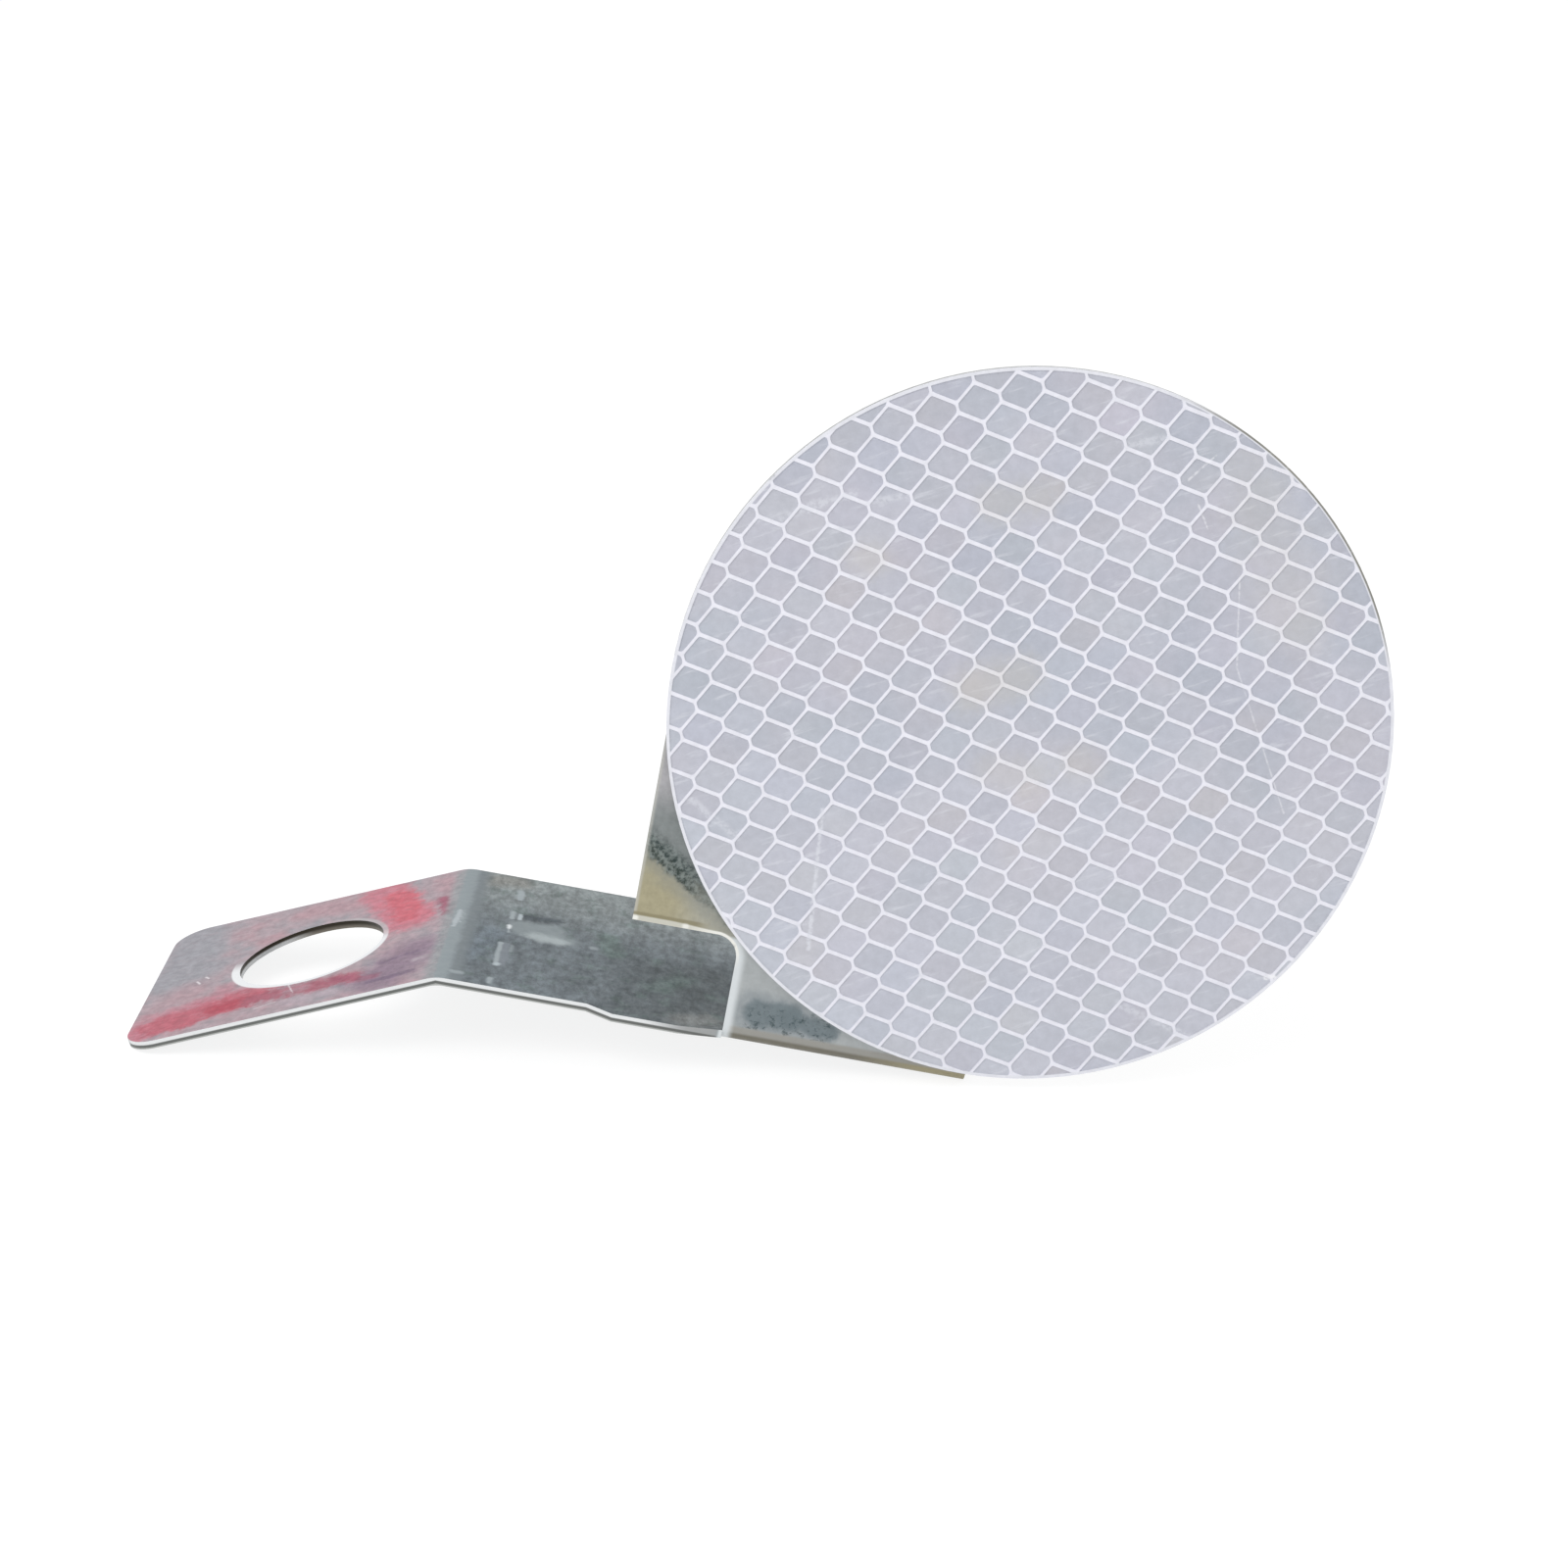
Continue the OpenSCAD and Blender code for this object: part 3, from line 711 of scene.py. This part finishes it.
def makeSteel():
    look = {name: shown(*value) for name, value in steelLook.items()}
    plan = steelPlan
    material, tree, shader = newMaterial("galvanised sheet", plan["metallic"], plan["roughness"])
    at = useGroup(tree, sheetFrames)
    strip, tab, head, facing = (at.outputs[name] for name in ("Strip", "Tab", "Head", "Facing"))
    x, _, z = add(tree, "SeparateXYZ", {0: strip}).outputs
    height = add(tree, "SeparateXYZ", {0: tab}).outputs[2]
    forwardness = dot(tree, facing, (0, -1, 0))
    zinc = useGroup(tree, spangle, {"Place": strip, "Size": plan["spangleSize"]})
    grain = zinc.outputs["Grain"]
    ragged = raggedEdge(tree, strip, *plan["fray"])

    # plain galvanised sheet, for the back and the underside
    crystals = fade(tree, zinc.outputs["Shade"], *plan["backShade"])
    colour = blendColour(tree, crystals, look["backDark"], look["back"])
    colour = blendColour(tree, fade(tree, grain, *plan["backPale"]), colour, look["pale"])

    # upper faces, then the head plate and neck with the fold's outer face down to its foot
    onTab = fade(tree, calc(tree, "MULTIPLY_ADD", ragged, plan["bendFray"], x), *plan["onTab"])
    top = blendColour(tree, onTab, paintStrip(tree, look, strip, ragged), paintTab(tree, look, tab, ragged))
    upward = fade(tree, dot(tree, facing, (0, 0, 1)), *plan["upward"])
    colour = blendColour(tree, upward, colour, top)
    plateOrNeck = calc(tree, "MAXIMUM", fade(tree, z, *plan["plateUp"]), fade(tree, x, *plan["neckLeft"]))
    onHead = both(tree, fade(tree, forwardness, *plan["forward"]), fade(tree, x, *plan["headLeft"]),
                  plateOrNeck)
    colour = blendColour(tree, onHead, colour, paintHead(tree, look, head, ragged))
    colour = paintCut(tree, look, colour, strip, height, forwardness)
    colour = paintHole(tree, look, colour, tab, facing)

    # the metal's sheen adds a little light everywhere, taken off here so that the colours show as written
    colour = vector(tree, "MAXIMUM", vector(tree, "SUBTRACT", colour, plan["sheen"]), plan["darkest"])
    plug(tree, shader.inputs["Base Color"], colour)
    plug(tree, shader.inputs["Roughness"], fade(tree, grain, *plan["dullness"]))
    addRelief(tree, shader, grain, plan["grainStrength"], plan["grainDepth"])
    return material


# honeycomb sheeting of the disc

honeycomb = {
    "pitch": 5.92,           # cells along a row
    "row": 3.42,             # spacing of the rows
    "side": 1.3,             # short side of a cell
    "thinLine": 0.4,
    "heavyLine": 0.55,
    "corner": 0.5,           # rounding of a cell's corners
    "rowAngle": 25.0,        # the rows' turn and shift on the disc
    "cellShift": 0.87,
    "rowShift": 1.27,
    "radius": 50.0,
    "rim": 0.45,
}

sheetingLook = {
    # cells; the colour lighter low down is painted light
    "cell": (187, 188, 198), "cellCool": (180, 184, 195), "cellLitBelow": (191, 194, 203),
    "cellWarm": (192, 188, 186), "line": (229, 229, 238), "beige": (198, 192, 178),
    "scuff": (216, 218, 226), "white": (240, 240, 244), "dark": (96, 98, 104),
    # the rim, and a painted shade line along the upper right edge
    "rimShade": (224, 225, 232), "discEdgeShade": (128, 127, 120),
}

sheetingPlan = {
    "metallic": 0.0,
    "roughness": 0.32,
    "fray": (0.3, 1.2),
    "coolPatches": (0.035, 3.0, 0.6),
    "coolShare": (0.4, 0.6),
    "lowDown": (10, -45),
    "lowShare": 0.7,
    "warmCells": (0.6, 1.0),
    "warmPatches": (0.05, 2.0),
    "warmShare": (0.42, 0.68),
    "warmStrength": 0.4,
    "shuffle": 7.3,          # makes a second random number from a cell's first
    "ownShade": (0.0, 1.0, 0.96, 1.04),
    "hueSpread": (0.036, 0.018, 0.026),
    "hueLeast": (0.982, 0.983, 0.987),
    "line": (-0.05, 0.06, 1.0, 0.0),
    "rimSoft": 0.1,
    "discEdgeShadeAngle": 49,         # where the plate's edge shows as a painted shade line, from the disc's right
    "discEdgeShadeReach": (0.86, 0.96),
    "discEdgeShadeInward": (0.34, 0.2),
    "haze": (0.7, 5.0, 0.7),
    "hazeShade": (0.3, 0.7, 0.95, 1.05),
    "wipeAngle": -28,
    "wipes": (0.55, 4.0, 0.65, (0.25, 1.6, 1)),
    "wipeShare": (0.55, 0.72, 0.0, 0.45),
    "breaks": (1.4, 3.0, 0.6),
    "broken": (0.36, 0.56, 0.2, 1.0),
    "dullness": (0.2, 0.8, 0.26, 0.42),
    "coat": 0.25,
    "coatRoughness": 0.15,
    "relief": (0.0, 0.3, 1.0, 0.0),
    "reliefStrength": 0.25,
    "reliefDepth": 0.0001,
}

# tints, scuffs and scratches on the sheeting, from the disc's centre
sheetTints = [
    ((-9, 4.5), (-3, 7.4), 3.0, 2.4, 1.2, "beige", 0.3),
    ((-11, 30), (-5, 32), 2.6, 2.2, 1.2, "beige", 0.26),
    ((24, 37), (33, 22), 4.5, 4.5, 2.0, "beige", 0.18),
    ((7, -3), (8, -3), 2.6, 2.2, 1.0, "beige", 0.2),
    ((-27.4, 19.6), (-25.8, 19.6), 2.2, 1.8, 1.0, "beige", 0.26),
    ((-4, -6), (1, -6), 2.4, 2.0, 1.2, "beige", 0.2),
]

sheetScratches = [
    ((-26, -16), (-24.2, -36), 0.24, 0.2, 0.2, "scuff", 0.75),
    ((-39, 23), (-30, 28), 0.5, 0.4, 0.5, "scuff", 0.5),
    ((-28, 27), (-23, 29), 0.4, 0.35, 0.4, "scuff", 0.5),
    ((10, 43), (5, 41), 0.45, 0.35, 0.4, "scuff", 0.5),
    ((31, -39), (20, -36), 0.4, 0.35, 0.4, "scuff", 0.5),
    ((-44, -18), (-37, -22), 0.45, 0.35, 0.4, "scuff", 0.5),
    ((16, 35), (18, 32), 0.12, 0.1, 0.08, "white", 0.5),
    ((17, 42), (14, 38), 0.12, 0.1, 0.08, "white", 0.5),
    ((23.7, 26.2), (26, 14), 0.1, 0.09, 0.06, "white", 0.45),
    ((26, 14), (36.8, -4.8), 0.1, 0.09, 0.06, "white", 0.35),
    ((39.6, -28.4), (40.6, -28), 0.4, 0.25, 0.2, "white", 0.9),
    ((-41.9, 27.7), (-41.2, 28.3), 0.25, 0.2, 0.1, "dark", 0.6),
]


def discPlane(tree, place):
    # millimetres from the disc's centre, along as the strip runs and up as the head plate stands, both at rest
    low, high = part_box("reflective_sheet")
    lean = radians(bracketPlan["lean"])
    rolled = Matrix.Rotation(radians(bracketPlan["roll"]), 3, "Y")
    along = rolled @ Vector((1, 0, 0))
    up = rolled @ Vector((0, sin(lean), cos(lean)))
    fromMiddle = scaled(tree, vector(tree, "SUBTRACT", place, tuple((low + high) / 2)), mm)
    u, v = dot(tree, fromMiddle, tuple(along)), dot(tree, fromMiddle, tuple(up))
    return add(tree, "CombineXYZ", {0: u, 1: v}).outputs[0]


def makeHoneycomb():
    # distance in from the nearest side of a cell, positive inside it, from two interleaved square lattices
    plan = honeycomb
    tree, given, out = newGroup("honeycomb", [("Place", "Vector", None)], [
        ("Inside", "Float"), ("Cell", "Vector"), ("From centre", "Float"), ("Flat", "Vector")])
    flat = discPlane(tree, given.outputs["Place"])
    turn = radians(plan["rowAngle"])
    a = calc(tree, "SUBTRACT", dot(tree, flat, (cos(turn), sin(turn), 0)), plan["cellShift"])
    b = calc(tree, "SUBTRACT", dot(tree, flat, (-sin(turn), cos(turn), 0)), plan["rowShift"])
    slope = atan2(2 * (plan["row"] - plan["side"]), plan["pitch"])
    rise = plan["row"] - plan["side"] / 2

    def nearestCell(value, spacing):
        # number of the nearest cell, and the distance from its middle
        number = calc(tree, "ROUND", calc(tree, "DIVIDE", value, spacing))
        return number, calc(tree, "SUBTRACT", value, calc(tree, "MULTIPLY", number, spacing))

    def lattice(shiftA, shiftB):
        cellA, da = nearestCell(calc(tree, "SUBTRACT", a, shiftA), plan["pitch"])
        cellB, db = nearestCell(calc(tree, "SUBTRACT", b, shiftB), 2 * plan["row"])
        sides = []
        for sign, width in ((1, plan["heavyLine"]), (-1, plan["thinLine"])):
            across = calc(tree, "ABSOLUTE", calc(tree, "MULTIPLY_ADD", da, sign * tan(slope), db))
            sides.append(calc(tree, "SUBTRACT", rise * cos(slope) - width / 2,
                              calc(tree, "MULTIPLY", across, cos(slope))))
        ends = calc(tree, "SUBTRACT", (plan["pitch"] - plan["thinLine"]) / 2, calc(tree, "ABSOLUTE", da))
        inside = calc(tree, "SMOOTH_MIN", sides[0], sides[1], plan["corner"])
        inside = calc(tree, "SMOOTH_MIN", inside, ends, plan["corner"])
        # the third number tells the two lattices' cells apart
        return inside, add(tree, "CombineXYZ", {0: cellA, 1: cellB, 2: shiftA + 1}).outputs[0]

    insideEven, cellEven = lattice(0.0, 0.0)
    insideOdd, cellOdd = lattice(plan["pitch"] / 2, plan["row"])
    odd = calc(tree, "GREATER_THAN", insideOdd, insideEven)
    # 4, 5 and 1 are a Mix node's vector sockets
    cell = add(tree, "Mix", {0: odd, 4: cellEven, 5: cellOdd}, data_type="VECTOR").outputs[1]
    plug(tree, out.inputs["Inside"], calc(tree, "MAXIMUM", insideEven, insideOdd))
    plug(tree, out.inputs["Cell"], cell)
    plug(tree, out.inputs["From centre"], vector(tree, "LENGTH", flat, output=1))
    plug(tree, out.inputs["Flat"], flat)
    return tree


def paintCells(tree, look, flat, cell):
    # broad cool patches, lighter low down as painted light, some warm cells, then a shade and a hue of each
    # cell's own
    plan = sheetingPlan
    own = add(tree, "TexWhiteNoise", {"Vector": cell}).outputs
    cool = fade(tree, noise(tree, flat, *plan["coolPatches"]), *plan["coolShare"])
    colour = blendColour(tree, cool, look["cellCool"], look["cell"])
    # painted light: lighter towards the bottom
    lowDown = fade(tree, dot(tree, flat, (0, 1, 0)), *plan["lowDown"])
    colour = blendColour(tree, calc(tree, "MULTIPLY", lowDown, plan["lowShare"]), colour, look["cellLitBelow"])
    warm = both(tree, fade(tree, own["Value"], *plan["warmCells"]),
                fade(tree, noise(tree, flat, *plan["warmPatches"]), *plan["warmShare"]))
    colour = blendColour(tree, calc(tree, "MULTIPLY", warm, plan["warmStrength"]), colour, look["cellWarm"])
    ownShade = calc(tree, "FRACT", calc(tree, "MULTIPLY", own["Value"], plan["shuffle"]))
    colour = mottled(tree, colour, ownShade, plan["ownShade"])
    ownHue = vector(tree, "MULTIPLY_ADD", own["Color"], plan["hueSpread"], plan["hueLeast"])
    return vector(tree, "MULTIPLY", colour, ownHue)


def makeSheeting():
    look = {name: shown(*value) for name, value in sheetingLook.items()}
    plan = sheetingPlan
    radius = honeycomb["radius"]
    material, tree, shader = newMaterial("honeycomb sheeting", plan["metallic"], plan["roughness"])
    comb = useGroup(tree, makeHoneycomb(), {"Place": add(tree, "TexCoord").outputs["Object"]}).outputs
    flat, fromCentre = comb["Flat"], comb["From centre"]
    ragged = raggedEdge(tree, flat, *plan["fray"])
    colour = paintCells(tree, look, flat, comb["Cell"])

    # web lines, the plain rim, and a painted shade line for the plate's edge at the upper right
    colour = blendColour(tree, fade(tree, comb["Inside"], *plan["line"]), colour, look["line"])
    rimFrom = radius - honeycomb["rim"]
    rim = fade(tree, fromCentre, rimFrom - plan["rimSoft"], rimFrom + plan["rimSoft"])
    colour = blendColour(tree, rim, colour, look["rimShade"])
    # painted shade line where the plate's edge shows at the upper right
    discEdgeShadeAngle = radians(plan["discEdgeShadeAngle"])
    towardsDiscEdgeShade = dot(tree, vector(tree, "NORMALIZE", flat), (cos(discEdgeShadeAngle), sin(discEdgeShadeAngle), 0))
    discEdgeShaded = both(tree, fade(tree, towardsDiscEdgeShade, *plan["discEdgeShadeReach"]),
                   fade(tree, fromCentre, *(radius - inward for inward in plan["discEdgeShadeInward"])))
    colour = blendColour(tree, discEdgeShaded, colour, look["discEdgeShade"])
    haze = noise(tree, flat, *plan["haze"])
    colour = mottled(tree, colour, haze, plan["hazeShade"])

    # faint pale wipes that run up to the right, then tints and broken scratches
    turn = {"Vector": flat, "Angle": radians(plan["wipeAngle"])}
    wiped = add(tree, "VectorRotate", turn, rotation_type="Z_AXIS").outputs[0]
    wipes = fade(tree, noise(tree, wiped, *plan["wipes"]), *plan["wipeShare"])
    colour = blendColour(tree, wipes, colour, look["scuff"])
    colour = paintStrokes(tree, flat, ragged, colour, sheetTints, look)
    broken = fade(tree, noise(tree, flat, *plan["breaks"]), *plan["broken"])
    colour = paintStrokes(tree, flat, ragged, colour, sheetScratches, look, broken)
    plug(tree, shader.inputs["Base Color"], colour)
    plug(tree, shader.inputs["Roughness"], fade(tree, haze, *plan["dullness"]))
    shader.inputs["Coat Weight"].default_value = plan["coat"]
    shader.inputs["Coat Roughness"].default_value = plan["coatRoughness"]
    web = fade(tree, comb["Inside"], *plan["relief"])
    addRelief(tree, shader, web, plan["reliefStrength"], plan["reliefDepth"])
    return material


# disc plate and rivets

aluminium = {
    "metallic": 0.9,
    "plate": (178, 180, 181),
    "plateRoughness": 0.4,
    "rivet": (196, 199, 202),
    "rivetRoughness": 0.38,
    "rolled": (0.9, 5.0, 0.6, (0.12, 1.0, 1.6)),
    "rolledShade": (0.3, 0.7),
    "darker": 0.86,
    "dullness": (0.2, 0.8),
    "smoothest": -0.06,      # roughness of the rolled streaks, from the piece's own
    "roughest": 0.1,
    "reliefStrength": 0.15,
    "reliefDepth": 0.00005,
}


def makeAluminium(name, piece):
    # drawn out along the strip, as the sheet was rolled
    plan = aluminium
    colour, roughness = plan[piece], plan[piece + "Roughness"]
    material, tree, shader = newMaterial(name, plan["metallic"], roughness)
    rolled = noise(tree, useGroup(tree, sheetFrames).outputs["Strip"], *plan["rolled"])
    darker = shown(*[c * plan["darker"] for c in colour])
    base = blendColour(tree, fade(tree, rolled, *plan["rolledShade"]), darker, shown(*colour))
    dullness = fade(tree, rolled, *plan["dullness"],
                    roughness + plan["smoothest"], roughness + plan["roughest"])
    plug(tree, shader.inputs["Base Color"], base)
    plug(tree, shader.inputs["Roughness"], dullness)
    addRelief(tree, shader, rolled, plan["reliefStrength"], plan["reliefDepth"])
    return material


# meshes, with lengths in millimetres and angles in degrees

dressing = {
    "merge": 0.002,          # points closer than this become one
    "flat": 0.3,             # faces that turn less than this are rejoined
    "crease": 35,            # edges that turn more than this are rounded
    "bracket": (0.65, 4),    # width and segments of the rounding, here of the hole's rim
    "bracketShare": 0.46,    # share of that width on the bracket's other edges
    "disc_plate": (0.2, 2),
    "rivet_left": (0.12, 2),
    "rivet_right": (0.12, 2),
    "rimDepth": 0.3,         # how far from the tab's face and past the hole an edge counts as its rim
    "rimReach": 0.2,
}


def atHoleRim(middle):
    # true for an edge on the upper rim of the bolt hole, which lies round the frame's origin
    lean = radians(bracketPlan["tabAngle"] - bracketPlan["roll"])
    axis = Vector((-sin(lean), 0, cos(lean)))
    rise = middle.dot(axis)
    radius = (middle - axis * rise).length * mm
    return abs(rise) * mm < dressing["rimDepth"] and radius < bracketPlan["holeRadius"] + dressing["rimReach"]


def weighEdges(body, share):
    # full rounding at the hole's rim, a share of it at the other sharp edges
    weights = body.edges.layers.float.new("bevel_weight_edge")
    for edge in body.edges:
        if edge.is_manifold and edge.calc_face_angle() > radians(dressing["crease"]):
            ends = [vertex.co for vertex in edge.verts]
            edge[weights] = 1.0 if atHoleRim((ends[0] + ends[1]) / 2) else share


def dressedCopy(node, name, material, rimShare=None):
    # copy of a CAD node: doubles merged, flat faces rejoined, and its sharp edges rounded
    crease = radians(dressing["crease"])
    width, segments = dressing[node]
    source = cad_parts[node].data
    mesh = bpy.data.meshes.new(name)
    mesh.from_pydata([v.co[:] for v in source.vertices], [], [p.vertices[:] for p in source.polygons])
    body = bmesh.new()
    body.from_mesh(mesh)
    bmesh.ops.remove_doubles(body, verts=body.verts, dist=dressing["merge"] / mm)
    flat = radians(dressing["flat"])
    bmesh.ops.dissolve_limit(body, angle_limit=flat, verts=body.verts, edges=body.edges)
    if rimShare:
        weighEdges(body, rimShare)
    body.to_mesh(mesh)
    body.free()
    mesh.shade_smooth()
    mesh.set_sharp_from_angle(angle=crease)
    mesh.materials.append(material)
    piece = bpy.data.objects.new(name, mesh)
    bpy.context.scene.collection.objects.link(piece)
    bevel = piece.modifiers.new("rounded edges", "BEVEL")
    bevel.width = width / mm
    bevel.segments = segments
    bevel.limit_method = "WEIGHT" if rimShare else "ANGLE"
    bevel.angle_limit = crease
    bevel.harden_normals = True
    bevel.use_clamp_overlap = True
    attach(piece, "root")
    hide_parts(node)
    return piece


bracket = dressedCopy("bracket", "bracketSheet", makeSteel(), dressing["bracketShare"])
print("bracket sheet made")

plate = dressedCopy("disc_plate", "discPlate", makeAluminium("mill aluminium", "plate"))
rivetMetal = makeAluminium("rivet aluminium", "rivet")
for side in ("left", "right"):
    rivet = dressedCopy("rivet_" + side, side + "Rivet", rivetMetal)
print("disc plate and rivets made")

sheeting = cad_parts["reflective_sheet"]
sheeting.data.materials.clear()
sheeting.data.materials.append(makeSheeting())
print("sheeting painted")


# floor, light and camera

studio = {
    "skyLight": 0.76,
    "floorSize": 6.0,
    "floorWhite": 0.96,
    "floorRoughness": 0.9,
    "floorGlow": 1.12,       # a camera sees the floor partly as its own white, so its shadow stays light
    "glowShare": 0.75,
    "keyPower": 7.0,
    "keyPlace": (-0.55, -0.75, 1.05),
    "keyAim": (0.05, 0, 0.03),
    "keySize": 0.7,
    "lens": 72.0,
    "sensor": 36,
    "nearest": 0.01,
    "cameraPlace": (0.07301, -0.43046, 0.17755),
    "cameraTurn": (0.475, 70.889, 1.389),    # heading, tilt from straight down, roll, in degrees
}


def seenRays(tree):
    # 1 for rays that end in the picture: from the camera, in reflections and through glass
    rays = add(tree, "LightPath").outputs
    return calc(tree, "MAXIMUM", rays["Is Camera Ray"],
                calc(tree, "MAXIMUM", rays["Is Glossy Ray"], rays["Is Transmission Ray"]))


def makeFloor():
    grid = bmesh.new()
    bmesh.ops.create_grid(grid, x_segments=1, y_segments=1, size=studio["floorSize"])
    mesh = bpy.data.meshes.new("floor")
    grid.to_mesh(mesh)
    grid.free()
    mesh.transform(Matrix.Translation((0, 0, cadBox[0][2])))
    floor = bpy.data.objects.new("floor", mesh)
    bpy.context.scene.collection.objects.link(floor)
    material, tree, shader = newMaterial("pale floor", 0.0, studio["floorRoughness"])
    shader.inputs["Base Color"].default_value = (studio["floorWhite"],) * 3 + (1.0,)
    shader.inputs["Specular IOR Level"].default_value = 0.0
    glow = add(tree, "Emission", {"Color": (1, 1, 1), "Strength": studio["floorGlow"]})
    share = calc(tree, "MULTIPLY", seenRays(tree), studio["glowShare"])
    mixed = add(tree, "MixShader", {0: share, 1: shader.outputs[0], 2: glow.outputs[0]})
    plug(tree, tree.nodes["Material Output"].inputs["Surface"], mixed.outputs[0])
    mesh.materials.append(material)


def makeLight():
    world = bpy.data.worlds.new("studio")
    bpy.context.scene.world = world
    world.use_nodes = True
    tree = world.node_tree
    strength = fade(tree, seenRays(tree), 0.0, 1.0, studio["skyLight"], 1.0)
    plug(tree, tree.nodes["Background"].inputs["Strength"], strength)
    tree.nodes["Background"].inputs["Color"].default_value = (1, 1, 1, 1)
    lamp = bpy.data.lights.new("softbox", "AREA")
    lamp.energy = studio["keyPower"]
    lamp.size = studio["keySize"]
    key = bpy.data.objects.new("softbox", lamp)
    key.location = studio["keyPlace"]
    aim = Vector(studio["keyAim"]) - key.location
    key.rotation_euler = aim.to_track_quat("-Z", "Y").to_euler()
    bpy.context.scene.collection.objects.link(key)


def makeCamera():
    heading, tilt, roll = (radians(angle) for angle in studio["cameraTurn"])
    camera = bpy.data.objects.new("camera", bpy.data.cameras.new("camera"))
    turn = Matrix.Rotation(heading, 4, "Z") @ Matrix.Rotation(tilt, 4, "X") @ Matrix.Rotation(roll, 4, "Z")
    camera.matrix_world = Matrix.Translation(studio["cameraPlace"]) @ turn
    camera.data.lens = studio["lens"]
    camera.data.sensor_width = studio["sensor"]
    camera.data.clip_start = studio["nearest"]
    bpy.context.scene.collection.objects.link(camera)
    bpy.context.scene.camera = camera


makeFloor()
makeLight()
makeCamera()
bpy.context.scene.view_settings.view_transform = "Standard"
print("floor, light and camera set")
